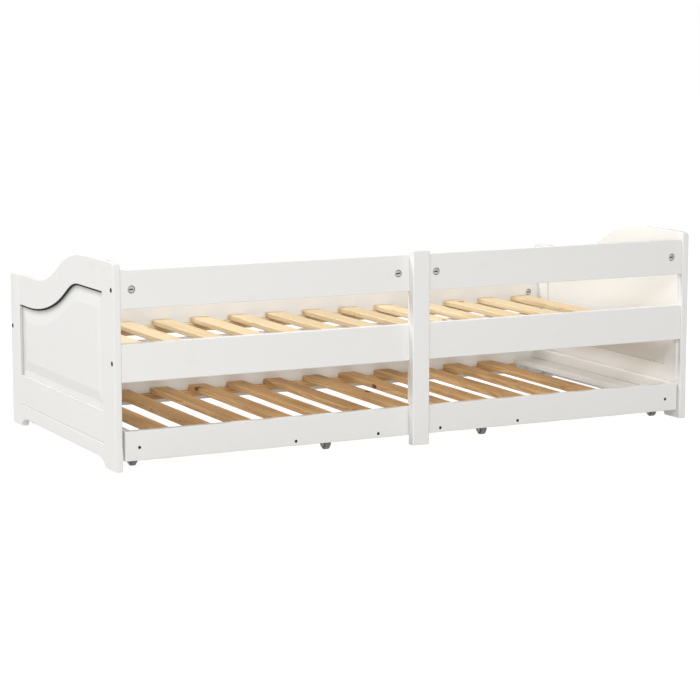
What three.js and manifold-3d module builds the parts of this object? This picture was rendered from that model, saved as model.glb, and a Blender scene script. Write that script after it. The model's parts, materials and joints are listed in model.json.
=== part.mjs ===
// Day bed with a pull-out trundle, in painted and natural pine.
//
// Millimetres, +Z up.  +X runs along the bed.  The guard rails and the centre post are at
// the back (+Y).  The trundle pulls out of the front (-Y).  The origin is on the floor, in
// the middle of the bed's box.
//
// Depths (named "depth" or "d") are measured from the back edge of the end panels towards
// the front, and depthY() turns them into Y.

import * as THREE from 'three';
import { mergeVertices } from 'three/addons/utils/BufferGeometryUtils.js';
import Module from 'manifold-3d';

const wasm = await Module();
wasm.setup();

// ---- driving dimensions ---------------------------------------------------------------

const FIT_GAP = 0.3;            // between two pieces that touch
const OVER = 1;                 // a cut runs this far past the face that it opens

const BED_LENGTH = 2055;
const BED_DEPTH = 958;          // of the end panels
const END_THICK = 24;
const END_HIGH = 633;           // top of an end panel at the back
const END_LOW = 507;            // top of an end panel at the front
const CORNER_RADIUS = 18;

const STILE_WIDE = 95;
const FOOT_WIDE = 89;
const ARCH_RUN = 72;            // each rounded end of the arch between the feet
const ARCH_RISE = 29;
const BOTTOM_RAIL_TOP = 173;
const BEAD_HEIGHT = 73;         // groove line along the bottom rail
const BEAD_WIDE = 3;
const PANEL_HIGH = 538;         // edge of the panel opening at the back
const PANEL_LOW = 409;          // edge of the panel opening at the front

// The S-shaped edges, from their low front end (foot) over their steepest point (middle) to
// their high back end (crest): depths, and how far each curve's handles reach.
const SWING_SLOPE = 0.56;
const OUTER_SWING = {
  foot: 700, footPull: 88, middle: 492, rise: 63, lowerPull: 68, upperPull: 67, crestPull: 145, crest: 215,
};
const OPENING_SWING = {
  foot: 775, footPull: 135, middle: 435, rise: 82, lowerPull: 85, upperPull: 50, crestPull: 55, crest: 300,
};

const PANEL_INNER = 6;          // panel faces, measured from the end's inner face
const PANEL_OUTER = 15;
const TONGUE = 8;
const FIELD_BORDER = 24;
const FIELD_SLOPE = 30;
const FIELD_RISE = 4;
const FIELD_SINK = 0.5;         // the raised field starts this deep inside the panel

const BOARD_THICK = 20;
const EDGE_ROUND = 3;
const POST_ROUND = 4;
const LEDGER_ROUND = 2;
const RAIL_RECESS = 8;          // back face of the rails, in from the ends' back edge
const RAIL_TALL = 117;
const LOWER_RAIL_BOTTOM = 270;
const UPPER_RAIL_BOTTOM = 491;
const SLOT_DEPTH = 6;           // slot in the ends and the post that takes a rail's end
const SLOT_BOTTOM = 132;
const NUT_INSET = 38;
const NUT_HOLE_RADIUS = 12;
const NUT_HOLE_DEPTH = 14;
const BOLT_HOLE_RADIUS = 6;
const BOLT_HOLE_DEPTH = 7;

const POST_WIDE = 60;
const POST_TALL = 620;
const POST_PROUD = 20;          // stands out behind the end panels
const POST_FOOT_DEPTH = 28;     // the post is thinner below the notch

const SLAT_WIDE = 66;
const SLAT_THICK = 18;
const LEDGER_THICK = 22;
const SLAT_END_GAP = 2;

// Rows of slats: "shift" moves a row along X, and "split" is the extra room between its halves.
const BED_SLATS = { count: 14, pitch: 142.5, shift: 5, split: 0, top: 319 };
const BED_LEDGER_TALL = 30;

const SIDE_PLAY = 8;            // trundle to the ends, each side
const TRUNDLE_SHIFT = -4;       // it stands a little to one side in its play
const TRUNDLE_BOTTOM = 29;
const TRUNDLE_BACK_TOP = 121;
const TRUNDLE_FRONT_TOP = 250;
const TRUNDLE_BACK_DEPTH = 12;
const TRUNDLE_SLATS = { count: 12, pitch: 142.5, shift: 13.5, split: 10, top: 84 };
const TRUNDLE_LEDGER_TALL = 22;
const END_BOARD_THICK = 18;
const END_PLANK_WIDE = 96;

const WHEEL_RADIUS = 20;
const WHEEL_HALF = 8.5;
const WHEEL_SIDES = 20;
const HUB_RADIUS = 7;
const DISH_INNER = 9;           // ring-shaped hollow between the hub and the tread
const DISH_OUTER = 13;
const DISH_DEPTH = 2.5;
const RIM_INNER = 15;
const TREAD_ROUND = 2;
const AXLE_RADIUS = 3;
const AXLE_HALF = 14;
const BORE_CLEARANCE = 0.4;
const CHEEK_INNER = 9.5;
const CHEEK_OUTER = 15;
const CHEEK_HALF = 11;          // half the depth of a cheek
const CHEEK_BOTTOM = 8;
const WHEEL_SLOT_HALF = 22.5;   // half the length of a wheel slot
const WHEEL_SLOT_TOP = 43;
const HOUSING_HALF = 26;        // half the depth of a corner caster housing
const HOUSING_SIDE = 20;        // half its width
const HOUSING_UNDER = 30;

const BACK_WHEEL_DEPTH = 88;
const FRONT_WHEEL_DEPTH = 900;
const MID_WHEEL_DEPTH = 57;
const BACK_WHEEL_INSET = 51;
const FRONT_WHEEL_INSET = 22;
const MID_WHEEL_X = { left: -261, right: 305 };
const MID_BLOCK_X = { left: -228, right: 284 };
const MID_BLOCK_LONG = 350;
const MID_BLOCK_NEAR = 84;
const MID_BOLT_HALF = 144;      // half the distance between a block's two bolts
const MID_BOLT_Z = 43;
const CORNER_BOLT_X = 949;
const CORNER_BOLT_Z = 69;
const SCREW_HOLE_RADIUS = 5;
const SCREW_HOLE_DEPTH = 6;

const HOLE_SIDES = 16;
const CURVE_STEPS = 10;

// ---- derived places -------------------------------------------------------------------

const BACK_Y = (BED_DEPTH - POST_PROUD) / 2;
const INNER_X = BED_LENGTH / 2 - END_THICK;
const RAIL_INNER = RAIL_RECESS + BOARD_THICK;
const FRONT_INNER = BED_DEPTH - RAIL_RECESS - BOARD_THICK;
const UPPER_RAIL_TOP = UPPER_RAIL_BOTTOM + RAIL_TALL;
const LOWER_RAIL_TOP = LOWER_RAIL_BOTTOM + RAIL_TALL;
const UPPER_BOLT_Z = UPPER_RAIL_BOTTOM + RAIL_TALL / 2;
const LOWER_BOLT_Z = LOWER_RAIL_BOTTOM + RAIL_TALL / 2;
const TRUNDLE_HALF = INNER_X - SIDE_PLAY;
const TRUNDLE_INNER = TRUNDLE_BACK_DEPTH + BOARD_THICK;
const TRUNDLE_SLAT_BOTTOM = TRUNDLE_SLATS.top - SLAT_THICK;

function depthY(depth) {
  return BACK_Y - depth;
}

// ---- materials ------------------------------------------------------------------------

const whitePaint = { color: 0xe9e8e4, roughness: 0.45, metalness: 0 };
const palePine = { color: 0xe6c896, roughness: 0.6, metalness: 0 };
const honeyPine = { color: 0xc89b63, roughness: 0.6, metalness: 0 };
const greyPlastic = { color: 0x8b8d8f, roughness: 0.5, metalness: 0 };

// ---- solids ---------------------------------------------------------------------------

function solidOf(geometry) {
  const bare = geometry.clone();
  bare.deleteAttribute('normal');
  bare.deleteAttribute('uv');
  const merged = mergeVertices(bare, 1e-4);
  return new wasm.Manifold(new wasm.Mesh({
    numProp: 3,
    vertProperties: new Float32Array(merged.attributes.position.array),
    triVerts: new Uint32Array(merged.index.array),
  }));
}

function geometryOf(solid) {
  const mesh = solid.getMesh();
  const geometry = new THREE.BufferGeometry();
  geometry.setAttribute('position', new THREE.BufferAttribute(mesh.vertProperties, 3));
  geometry.setIndex(new THREE.BufferAttribute(mesh.triVerts, 1));
  geometry.computeVertexNormals();
  return geometry;
}

// A box given by the ranges that it fills.
function block([x0, x1], [y0, y1], [z0, z1]) {
  const geometry = new THREE.BoxGeometry(x1 - x0, y1 - y0, z1 - z0);
  geometry.translate((x0 + x1) / 2, (y0 + y1) / 2, (z0 + z1) / 2);
  return solidOf(geometry);
}

// The same between two depths.
function blockAt(xRange, [nearDepth, farDepth], zRange) {
  return block(xRange, [depthY(farDepth), depthY(nearDepth)], zRange);
}

function cylinderX(radius, x0, x1, y, z) {
  const geometry = new THREE.CylinderGeometry(radius, radius, x1 - x0, HOLE_SIDES);
  geometry.rotateZ(Math.PI / 2);
  geometry.translate((x0 + x1) / 2, y, z);
  return solidOf(geometry);
}

function cylinderY(radius, x, y0, y1, z) {
  const geometry = new THREE.CylinderGeometry(radius, radius, y1 - y0, HOLE_SIDES);
  geometry.translate(x, (y0 + y1) / 2, z);
  return solidOf(geometry);
}

function roundedRectangle(wide, tall, radius) {
  const w = wide / 2 - radius;
  const t = tall / 2 - radius;
  const shape = new THREE.Shape();
  shape.absarc(w, t, radius, 0, Math.PI / 2);
  shape.absarc(-w, t, radius, Math.PI / 2, Math.PI);
  shape.absarc(-w, -t, radius, Math.PI, Math.PI * 1.5);
  shape.absarc(w, -t, radius, Math.PI * 1.5, Math.PI * 2);
  shape.closePath();
  return shape;
}

// Turns an extrusion's own (u, v, length) axes into (Y, Z, X), (Z, X, Y) or (X, Y, Z).
const TURNS = {
  x: new THREE.Matrix4().set(0, 0, 1, 0, 1, 0, 0, 0, 0, 1, 0, 0, 0, 0, 0, 1),
  y: new THREE.Matrix4().set(0, 1, 0, 0, 0, 0, 1, 0, 1, 0, 0, 0, 0, 0, 0, 1),
  z: new THREE.Matrix4(),
};

// A board with eased long edges, centred on its own origin.
function boardGeometry([sx, sy, sz], along, round = EDGE_ROUND) {
  const section = { x: [sy, sz, sx], y: [sz, sx, sy], z: [sx, sy, sz] }[along];
  const [wide, tall, length] = section;
  const geometry = new THREE.ExtrudeGeometry(roundedRectangle(wide, tall, round), {
    depth: length,
    curveSegments: 3,
    bevelEnabled: false,
  });
  geometry.translate(0, 0, -length / 2);
  geometry.applyMatrix4(TURNS[along]);
  return geometry;
}

// A shape drawn in (depth, height), given a thickness along X.
function plate(shape, x0, x1) {
  const geometry = new THREE.ExtrudeGeometry(shape, {
    depth: Math.abs(x1 - x0),
    curveSegments: CURVE_STEPS,
    bevelEnabled: false,
  });
  return solidOf(standUpright(geometry, Math.max(x0, x1)));
}

// Stands an extrusion drawn in (depth, height) upright in the bed, with its start at x and
// its thickness running towards -X.
function standUpright(geometry, x) {
  geometry.rotateX(Math.PI / 2);
  geometry.rotateZ(-Math.PI / 2);
  geometry.translate(x, depthY(0), 0);
  return geometry;
}

function addPiece(parent, name, look, geometry, [x, y, z] = [0, 0, 0]) {
  const mesh = new THREE.Mesh(geometry, new THREE.MeshStandardMaterial(look));
  mesh.name = name;
  mesh.position.set(x, y, z);
  parent.add(mesh);
}

function addSolid(parent, name, look, solid) {
  addPiece(parent, name, look, geometryOf(solid));
}

// A plain eased board between two depths.
function addBoard(parent, name, look, along, [x0, x1], [near, far], [z0, z1], round) {
  const size = [x1 - x0, far - near, z1 - z0];
  const centre = [(x0 + x1) / 2, depthY((near + far) / 2), (z0 + z1) / 2];
  addPiece(parent, name, look, boardGeometry(size, along, round), centre);
}

// ---- end panels -----------------------------------------------------------------------

// Draws an edge towards the back that swings from a low level up to a high one.
function swingUp(shape, swing, low, high) {
  const { foot, middle, crest } = swing;
  const z = low + swing.rise;
  const below = [middle + swing.lowerPull, z - SWING_SLOPE * swing.lowerPull];
  const above = [middle - swing.upperPull, z + SWING_SLOPE * swing.upperPull];
  shape.lineTo(foot, low);
  shape.bezierCurveTo(foot - swing.footPull, low, ...below, middle, z);
  shape.bezierCurveTo(...above, crest + swing.crestPull, high, crest, high);
}

function endOutline() {
  const cornerR = CORNER_RADIUS;
  const shape = new THREE.Shape();
  shape.moveTo(0, 0);
  shape.lineTo(FOOT_WIDE, 0);
  shape.absellipse(FOOT_WIDE + ARCH_RUN, 0, ARCH_RUN, ARCH_RISE, Math.PI, Math.PI / 2, true);
  shape.absellipse(BED_DEPTH - FOOT_WIDE - ARCH_RUN, 0, ARCH_RUN, ARCH_RISE, Math.PI / 2, 0, true);
  shape.lineTo(BED_DEPTH, 0);
  shape.absarc(BED_DEPTH - cornerR, END_LOW - cornerR, cornerR, 0, Math.PI / 2);
  swingUp(shape, OUTER_SWING, END_LOW, END_HIGH);
  shape.absarc(cornerR, END_HIGH - cornerR, cornerR, Math.PI / 2, Math.PI);
  shape.closePath();
  return shape;
}

// The panel opening, grown outwards by an amount on every side.
function openingShape(grow) {
  const near = STILE_WIDE - grow;
  const far = BED_DEPTH - STILE_WIDE + grow;
  const high = PANEL_HIGH + grow;
  const low = PANEL_LOW + grow;
  const shape = new THREE.Shape();
  shape.moveTo(near, BOTTOM_RAIL_TOP - grow);
  shape.lineTo(far, BOTTOM_RAIL_TOP - grow);
  shape.lineTo(far, low);
  swingUp(shape, OPENING_SWING, low, high);
  shape.lineTo(near, high);
  shape.closePath();
  return shape;
}

function fieldedPanel(outward) {
  const inner = outward * (INNER_X + PANEL_INNER);
  const outer = outward * (INNER_X + PANEL_OUTER);
  const sheet = plate(openingShape(TONGUE - FIT_GAP), inner, outer);
  const lift = new THREE.ExtrudeGeometry(openingShape(-FIELD_BORDER - FIELD_SLOPE), {
    depth: FIELD_SINK * 2,
    curveSegments: CURVE_STEPS,
    bevelThickness: FIELD_RISE,
    bevelSize: FIELD_SLOPE,
    bevelSegments: 1,
  });
  return sheet.add(solidOf(standUpright(lift, outer + FIELD_SINK)));
}

// Everything that is cut out of an end's framing: panel grooves, rail slots and bolt holes.
function endCuts(outward) {
  const inner = outward * (INNER_X + PANEL_INNER - FIT_GAP);
  const outer = outward * (INNER_X + PANEL_OUTER + FIT_GAP);
  const slotX = [outward * (INNER_X - OVER), outward * (INNER_X + SLOT_DEPTH)].sort((a, b) => a - b);
  const holeX = [
    outward * (INNER_X + END_THICK - BOLT_HOLE_DEPTH),
    outward * (INNER_X + END_THICK + OVER),
  ].sort((a, b) => a - b);
  const beadX = [
    outward * (INNER_X + END_THICK - BEAD_WIDE / 2),
    outward * (INNER_X + END_THICK + OVER),
  ].sort((a, b) => a - b);

  const backSlot = [RAIL_RECESS - FIT_GAP, RAIL_INNER + FIT_GAP];
  const frontSlot = [FRONT_INNER - FIT_GAP, FRONT_INNER + BOARD_THICK + FIT_GAP];
  const backBolt = depthY(RAIL_RECESS + BOARD_THICK / 2);
  const frontBolt = depthY(FRONT_INNER + BOARD_THICK / 2);
  const bead = [BEAD_HEIGHT - BEAD_WIDE / 2, BEAD_HEIGHT + BEAD_WIDE / 2];
  return plate(openingShape(TONGUE), inner, outer)
    .add(plate(openingShape(0), outward * (INNER_X - OVER), outward * (INNER_X + END_THICK + OVER)))
    .add(blockAt(slotX, backSlot, [SLOT_BOTTOM, UPPER_RAIL_TOP + FIT_GAP]))
    .add(blockAt(slotX, frontSlot, [LOWER_RAIL_BOTTOM - FIT_GAP, LOWER_RAIL_TOP + FIT_GAP]))
    .add(cylinderX(BOLT_HOLE_RADIUS, ...holeX, backBolt, UPPER_BOLT_Z))
    .add(cylinderX(BOLT_HOLE_RADIUS, ...holeX, backBolt, LOWER_BOLT_Z))
    .add(cylinderX(BOLT_HOLE_RADIUS, ...holeX, frontBolt, LOWER_BOLT_Z))
    .add(blockAt(beadX, [STILE_WIDE, BED_DEPTH - STILE_WIDE], bead));
}

function addEnd(parent, side, outward) {
  const xRange = [outward * INNER_X, outward * (INNER_X + END_THICK)].sort((a, b) => a - b);
  const wideX = [xRange[0] - OVER, xRange[1] + OVER];
  const framing = plate(endOutline(), ...xRange).subtract(endCuts(outward));
  const half = FIT_GAP / 2;
  const between = [STILE_WIDE + half, BED_DEPTH - STILE_WIDE - half];
  const middle = (PANEL_LOW + BOTTOM_RAIL_TOP) / 2;
  const tall = [-OVER, END_HIGH + OVER];
  const members = {
    back_stile: blockAt(wideX, [-OVER, STILE_WIDE - half], tall),
    front_stile: blockAt(wideX, [BED_DEPTH - STILE_WIDE + half, BED_DEPTH + OVER], tall),
    top_rail: blockAt(wideX, between, [middle, tall[1]]),
    bottom_rail: blockAt(wideX, between, [tall[0], middle]),
  };
  for (const [member, region] of Object.entries(members)) {
    addSolid(parent, `${side}_end_${member}`, whitePaint, framing.intersect(region));
  }
  addSolid(parent, `${side}_end_panel`, whitePaint, fieldedPanel(outward));
}

// ---- back, front and post -------------------------------------------------------------

function addPost(parent) {
  const depthRange = [-POST_PROUD, RAIL_INNER];
  const size = [POST_WIDE, depthRange[1] - depthRange[0], POST_TALL];
  const shaft = boardGeometry(size, 'z', POST_ROUND);
  shaft.translate(0, depthY((depthRange[0] + depthRange[1]) / 2), POST_TALL / 2);
  const half = POST_WIDE / 2;
  const slot = [RAIL_RECESS - FIT_GAP, RAIL_INNER + OVER];
  const slotZ = [SLOT_BOTTOM - OVER, UPPER_RAIL_TOP + FIT_GAP];
  const notchDepth = [POST_FOOT_DEPTH - POST_PROUD, RAIL_INNER + OVER];
  const post = solidOf(shaft)
    .subtract(blockAt([-half - OVER, half + OVER], notchDepth, [-OVER, SLOT_BOTTOM]))
    .subtract(blockAt([-half - OVER, SLOT_DEPTH - half], slot, slotZ))
    .subtract(blockAt([half - SLOT_DEPTH, half + OVER], slot, slotZ));
  addSolid(parent, 'centre_post', whitePaint, post);
}

// A back rail from an end to the post, with a round hole for a barrel nut near each end.
function addBackRail(parent, name, outward, bottom, nutsOutside) {
  const postEnd = POST_WIDE / 2 - SLOT_DEPTH + FIT_GAP;
  const endEnd = INNER_X + SLOT_DEPTH - FIT_GAP;
  const [x0, x1] = [outward * postEnd, outward * endEnd].sort((a, b) => a - b);
  const board = boardGeometry([x1 - x0, BOARD_THICK, RAIL_TALL], 'x');
  board.translate((x0 + x1) / 2, depthY(RAIL_RECESS + BOARD_THICK / 2), bottom + RAIL_TALL / 2);
  const backY = depthY(RAIL_RECESS);
  const innerY = depthY(RAIL_INNER);
  const holeY = nutsOutside
    ? [backY - NUT_HOLE_DEPTH, backY + OVER]
    : [innerY - OVER, innerY + NUT_HOLE_DEPTH];
  let rail = solidOf(board);
  for (const x of [INNER_X - NUT_INSET, POST_WIDE / 2 + NUT_INSET]) {
    const hole = cylinderY(NUT_HOLE_RADIUS, outward * x, ...holeY, bottom + RAIL_TALL / 2);
    rail = rail.subtract(hole);
  }
  addSolid(parent, name, whitePaint, rail);
}

function addFrontRail(parent) {
  const half = INNER_X + SLOT_DEPTH - FIT_GAP;
  const board = boardGeometry([half * 2, BOARD_THICK, RAIL_TALL], 'x');
  board.translate(0, depthY(FRONT_INNER + BOARD_THICK / 2), LOWER_BOLT_Z);
  const innerY = depthY(FRONT_INNER);
  let rail = solidOf(board);
  for (const x of [NUT_INSET - INNER_X, INNER_X - NUT_INSET]) {
    const hole = cylinderY(NUT_HOLE_RADIUS, x, innerY - NUT_HOLE_DEPTH, innerY + OVER, LOWER_BOLT_Z);
    rail = rail.subtract(hole);
  }
  addSolid(parent, 'front_rail', whitePaint, rail);
}

// ---- slats ----------------------------------------------------------------------------

function addSlats(parent, prefix, look, row, depthRange) {
  for (let i = 0; i < row.count; i += 1) {
    const place = i - (row.count - 1) / 2;
    const x = row.shift + place * row.pitch + Math.sign(place) * row.split / 2;
    const name = `${prefix}_slat_${String(i + 1).padStart(2, '0')}`;
    const xRange = [x - SLAT_WIDE / 2, x + SLAT_WIDE / 2];
    addBoard(parent, name, look, 'y', xRange, depthRange, [row.top - SLAT_THICK, row.top]);
  }
}

function addLedgers(parent, prefix, look, half, backDepth, frontDepth, top, tall) {
  const zRange = [top - tall, top - FIT_GAP];
  const back = [backDepth + FIT_GAP, backDepth + LEDGER_THICK];
  const front = [frontDepth - LEDGER_THICK, frontDepth - FIT_GAP];
  addBoard(parent, `${prefix}_back_ledger`, look, 'x', [-half, half], back, zRange, LEDGER_ROUND);
  addBoard(parent, `${prefix}_front_ledger`, look, 'x', [-half, half], front, zRange, LEDGER_ROUND);
}

// ---- casters --------------------------------------------------------------------------

// Two cheeks that hold a wheel's axle, below a caster block.
function casterCheeks(x, depth, top) {
  const cheekDepth = [depth - CHEEK_HALF, depth + CHEEK_HALF];
  const zRange = [CHEEK_BOTTOM, top];
  return blockAt([x - CHEEK_OUTER, x - CHEEK_INNER], cheekDepth, zRange)
    .add(blockAt([x + CHEEK_INNER, x + CHEEK_OUTER], cheekDepth, zRange));
}

function casterSlot(x, depth) {
  const slotDepth = [depth - WHEEL_SLOT_HALF, depth + WHEEL_SLOT_HALF];
  return blockAt([x - CHEEK_INNER, x + CHEEK_INNER], slotDepth, [0, WHEEL_SLOT_TOP]);
}

function axleBore(x, depth) {
  const radius = AXLE_RADIUS + BORE_CLEARANCE;
  return cylinderX(radius, x - CHEEK_OUTER - OVER, x + CHEEK_OUTER + OVER, depthY(depth), WHEEL_RADIUS);
}

function withCaster(body, x, depth) {
  return body
    .add(casterCheeks(x, depth, HOUSING_UNDER + OVER))
    .subtract(casterSlot(x, depth))
    .subtract(axleBore(x, depth));
}

// A wheel and its axle, turned as one piece about X.
function wheelGeometry() {
  const r = WHEEL_RADIUS;
  const w = WHEEL_HALF;
  const half = [
    [0, AXLE_HALF],
    [AXLE_RADIUS, AXLE_HALF],
    [AXLE_RADIUS, w],
    [HUB_RADIUS, w],
    [DISH_INNER, w - DISH_DEPTH],
    [DISH_OUTER, w - DISH_DEPTH],
    [RIM_INNER, w],
    [r - TREAD_ROUND, w],
    [r, w - TREAD_ROUND],
  ];
  const lower = half.map(([radius, height]) => [radius, -height]);
  const points = [...lower, ...half.reverse()].map(([radius, height]) => new THREE.Vector2(radius, height));
  const geometry = new THREE.LatheGeometry(points, WHEEL_SIDES);
  geometry.rotateZ(Math.PI / 2);
  return geometryOf(solidOf(geometry));
}

function addWheel(parent, name, x, depth) {
  addPiece(parent, name, greyPlastic, wheelGeometry(), [x, depthY(depth), WHEEL_RADIUS]);
}

// ---- trundle --------------------------------------------------------------------------

// The plank at one end of the trundle, with a caster housing under each of its corners.
function addEndPlank(parent, side, outward) {
  const outer = outward * TRUNDLE_HALF;
  const inner = outward * (TRUNDLE_HALF - END_PLANK_WIDE);
  const span = [TRUNDLE_INNER + FIT_GAP, FRONT_INNER - FIT_GAP];
  const size = [END_PLANK_WIDE, span[1] - span[0], SLAT_THICK];
  const board = boardGeometry(size, 'y');
  const middleZ = TRUNDLE_SLATS.top - SLAT_THICK / 2;
  board.translate((outer + inner) / 2, depthY((span[0] + span[1]) / 2), middleZ);
  let plank = solidOf(board);
  const corners = [
    ['back', TRUNDLE_HALF - BACK_WHEEL_INSET, BACK_WHEEL_DEPTH],
    ['front', TRUNDLE_HALF - FRONT_WHEEL_INSET, FRONT_WHEEL_DEPTH],
  ];
  for (const [end, inset, depth] of corners) {
    const x = outward * inset;
    const housing = blockAt(
      [x - HOUSING_SIDE, x + HOUSING_SIDE],
      [depth - HOUSING_HALF, depth + HOUSING_HALF],
      [HOUSING_UNDER, TRUNDLE_SLAT_BOTTOM + OVER],
    );
    plank = withCaster(plank.add(housing), x, depth);
    addWheel(parent, `${side}_${end}_wheel`, x, depth);
  }
  addSolid(parent, `trundle_${side}_end_plank`, whitePaint, plank);
}

function addEndBoard(parent, side, outward) {
  const outer = outward * TRUNDLE_HALF;
  const inner = outward * (TRUNDLE_HALF - END_BOARD_THICK);
  const xRange = [outer, inner].sort((a, b) => a - b);
  const span = [TRUNDLE_INNER + FIT_GAP, FRONT_INNER - FIT_GAP];
  const zRange = [TRUNDLE_SLATS.top + FIT_GAP, TRUNDLE_BACK_TOP];
  addBoard(parent, `trundle_${side}_end_board`, whitePaint, 'y', xRange, span, zRange);
}

// A block behind the back rail that carries one of the two middle wheels.
function addMidBlock(parent, side) {
  const x = MID_WHEEL_X[side];
  const middle = MID_BLOCK_X[side];
  const bar = blockAt(
    [middle - MID_BLOCK_LONG / 2, middle + MID_BLOCK_LONG / 2],
    [TRUNDLE_INNER + FIT_GAP, MID_BLOCK_NEAR],
    [HOUSING_UNDER, TRUNDLE_SLAT_BOTTOM - TRUNDLE_LEDGER_TALL - FIT_GAP],
  );
  addSolid(parent, `trundle_${side}_caster_block`, palePine, withCaster(bar, x, MID_WHEEL_DEPTH));
  addWheel(parent, `${side}_middle_wheel`, x, MID_WHEEL_DEPTH);
}

// The back rail, with the bolts of its corners and of the caster blocks sunk in holes.
function addTrundleBackRail(parent, half) {
  const board = boardGeometry([half * 2, BOARD_THICK, TRUNDLE_BACK_TOP - TRUNDLE_BOTTOM], 'x');
  const depth = TRUNDLE_BACK_DEPTH + BOARD_THICK / 2;
  board.translate(0, depthY(depth), (TRUNDLE_BACK_TOP + TRUNDLE_BOTTOM) / 2);
  const backY = depthY(TRUNDLE_BACK_DEPTH);
  const bolts = [[-CORNER_BOLT_X, CORNER_BOLT_Z], [CORNER_BOLT_X, CORNER_BOLT_Z]];
  for (const middle of Object.values(MID_BLOCK_X)) {
    bolts.push([middle - MID_BOLT_HALF, MID_BOLT_Z], [middle + MID_BOLT_HALF, MID_BOLT_Z]);
  }
  let rail = solidOf(board);
  for (const [x, z] of bolts) {
    rail = rail.subtract(cylinderY(SCREW_HOLE_RADIUS, x, backY - SCREW_HOLE_DEPTH, backY + OVER, z));
  }
  addSolid(parent, 'trundle_back_rail', whitePaint, rail);
}

function addTrundle(parent) {
  const half = TRUNDLE_HALF;
  const frontDepth = [FRONT_INNER, FRONT_INNER + BOARD_THICK];
  const trundle = new THREE.Group();
  trundle.position.x = TRUNDLE_SHIFT;
  parent.add(trundle);
  addTrundleBackRail(trundle, half);
  addBoard(trundle, 'trundle_front_panel', whitePaint, 'x', [-half, half], frontDepth,
    [TRUNDLE_BOTTOM, TRUNDLE_FRONT_TOP]);
  for (const [side, outward] of [['left', -1], ['right', 1]]) {
    addEndPlank(trundle, side, outward);
    addEndBoard(trundle, side, outward);
    addMidBlock(trundle, side);
  }
  addLedgers(trundle, 'trundle', honeyPine, half - END_PLANK_WIDE - FIT_GAP, TRUNDLE_INNER,
    FRONT_INNER, TRUNDLE_SLAT_BOTTOM, TRUNDLE_LEDGER_TALL);
  addSlats(trundle, 'trundle', honeyPine, TRUNDLE_SLATS,
    [TRUNDLE_INNER + SLAT_END_GAP, FRONT_INNER - SLAT_END_GAP]);
}

// ---- the bed --------------------------------------------------------------------------

const bed = new THREE.Group();
addEnd(bed, 'left', -1);
addEnd(bed, 'right', 1);
addPost(bed);
for (const [side, outward] of [['left', -1], ['right', 1]]) {
  addBackRail(bed, `upper_${side}_rail`, outward, UPPER_RAIL_BOTTOM, true);
  addBackRail(bed, `lower_${side}_rail`, outward, LOWER_RAIL_BOTTOM, false);
}
addFrontRail(bed);
addLedgers(bed, 'bed', palePine, INNER_X - FIT_GAP, RAIL_INNER, FRONT_INNER,
  BED_SLATS.top - SLAT_THICK, BED_LEDGER_TALL);
addSlats(bed, 'bed', palePine, BED_SLATS, [RAIL_INNER + SLAT_END_GAP, FRONT_INNER - SLAT_END_GAP]);
addTrundle(bed);

export default bed;
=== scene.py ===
# A day bed with a pull-out trundle: painted and natural pine, its fittings and its casters.
#
# Metres, +Z up, +X along the bed, +Y the back with the guard rails and the centre post.
# Left and right in the names of pieces are the -X and the +X side.

import json
import math
import random

import bmesh
import bpy
from mathutils import Matrix, Vector


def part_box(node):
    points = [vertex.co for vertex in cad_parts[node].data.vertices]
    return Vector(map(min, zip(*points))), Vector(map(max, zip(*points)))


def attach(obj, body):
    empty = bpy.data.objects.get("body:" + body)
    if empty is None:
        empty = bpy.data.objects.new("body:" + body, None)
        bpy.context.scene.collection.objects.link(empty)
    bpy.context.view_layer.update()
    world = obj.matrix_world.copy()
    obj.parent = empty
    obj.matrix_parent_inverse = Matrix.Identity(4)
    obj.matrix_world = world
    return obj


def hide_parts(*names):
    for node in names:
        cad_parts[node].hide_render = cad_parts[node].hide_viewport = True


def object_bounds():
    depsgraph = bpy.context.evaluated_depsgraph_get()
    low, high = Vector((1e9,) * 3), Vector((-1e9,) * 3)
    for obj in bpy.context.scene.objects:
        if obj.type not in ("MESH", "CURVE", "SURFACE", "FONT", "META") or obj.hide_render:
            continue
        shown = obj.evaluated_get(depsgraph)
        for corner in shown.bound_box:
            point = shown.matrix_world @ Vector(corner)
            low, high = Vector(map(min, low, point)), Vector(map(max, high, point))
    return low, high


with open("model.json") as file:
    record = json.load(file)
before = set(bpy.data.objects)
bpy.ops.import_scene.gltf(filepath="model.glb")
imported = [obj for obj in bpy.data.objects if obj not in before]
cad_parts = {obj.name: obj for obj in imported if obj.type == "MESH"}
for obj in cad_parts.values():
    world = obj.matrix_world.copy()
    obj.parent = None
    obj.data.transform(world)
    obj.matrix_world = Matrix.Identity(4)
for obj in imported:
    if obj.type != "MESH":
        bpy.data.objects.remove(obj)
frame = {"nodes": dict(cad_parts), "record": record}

CAD_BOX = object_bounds()
RECORD = frame["record"]
BODIES = RECORD["behaviour"]["bodies"]
BODY_OF = {node: body for body, nodes in BODIES.items() for node in nodes}
SLOT_OF = {part["node"]: part["material_slot"] for part in RECORD["subparts"]}
SIDES = ("left", "right")
MM = 0.001
SHARP_EDGE = math.radians(50)   # edges sharper than this are eased
FLAT_FACE = math.radians(0.5)   # triangles within this angle make one face
chance = random.Random(7)

# ---- camera, floor and light --------------------------------------------------------------

CAMERA_PLACE = (3.449, 6.846, 1.403)
CAMERA_TURN = math.radians(180 - 26.69)
CAMERA_TILT = math.radians(90 - 8.63)
CAMERA_LENS = 118.9             # millimetres, as is the sensor
CAMERA_SENSOR = 36
BED_MIDDLE = (CAD_BOX[0] + CAD_BOX[1]) / 2
INSIDE_TARGET = Vector((0.1, -0.45, 0.28))
FLOOR_SIZE = 40
FLOOR_GLOW = 0.9
FLOOR_LIGHT = 0.42              # the floor's glow as a light; the camera sees it white
SKY_STRENGTH = 0.40             # the sky as a light; the camera sees it white


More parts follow.
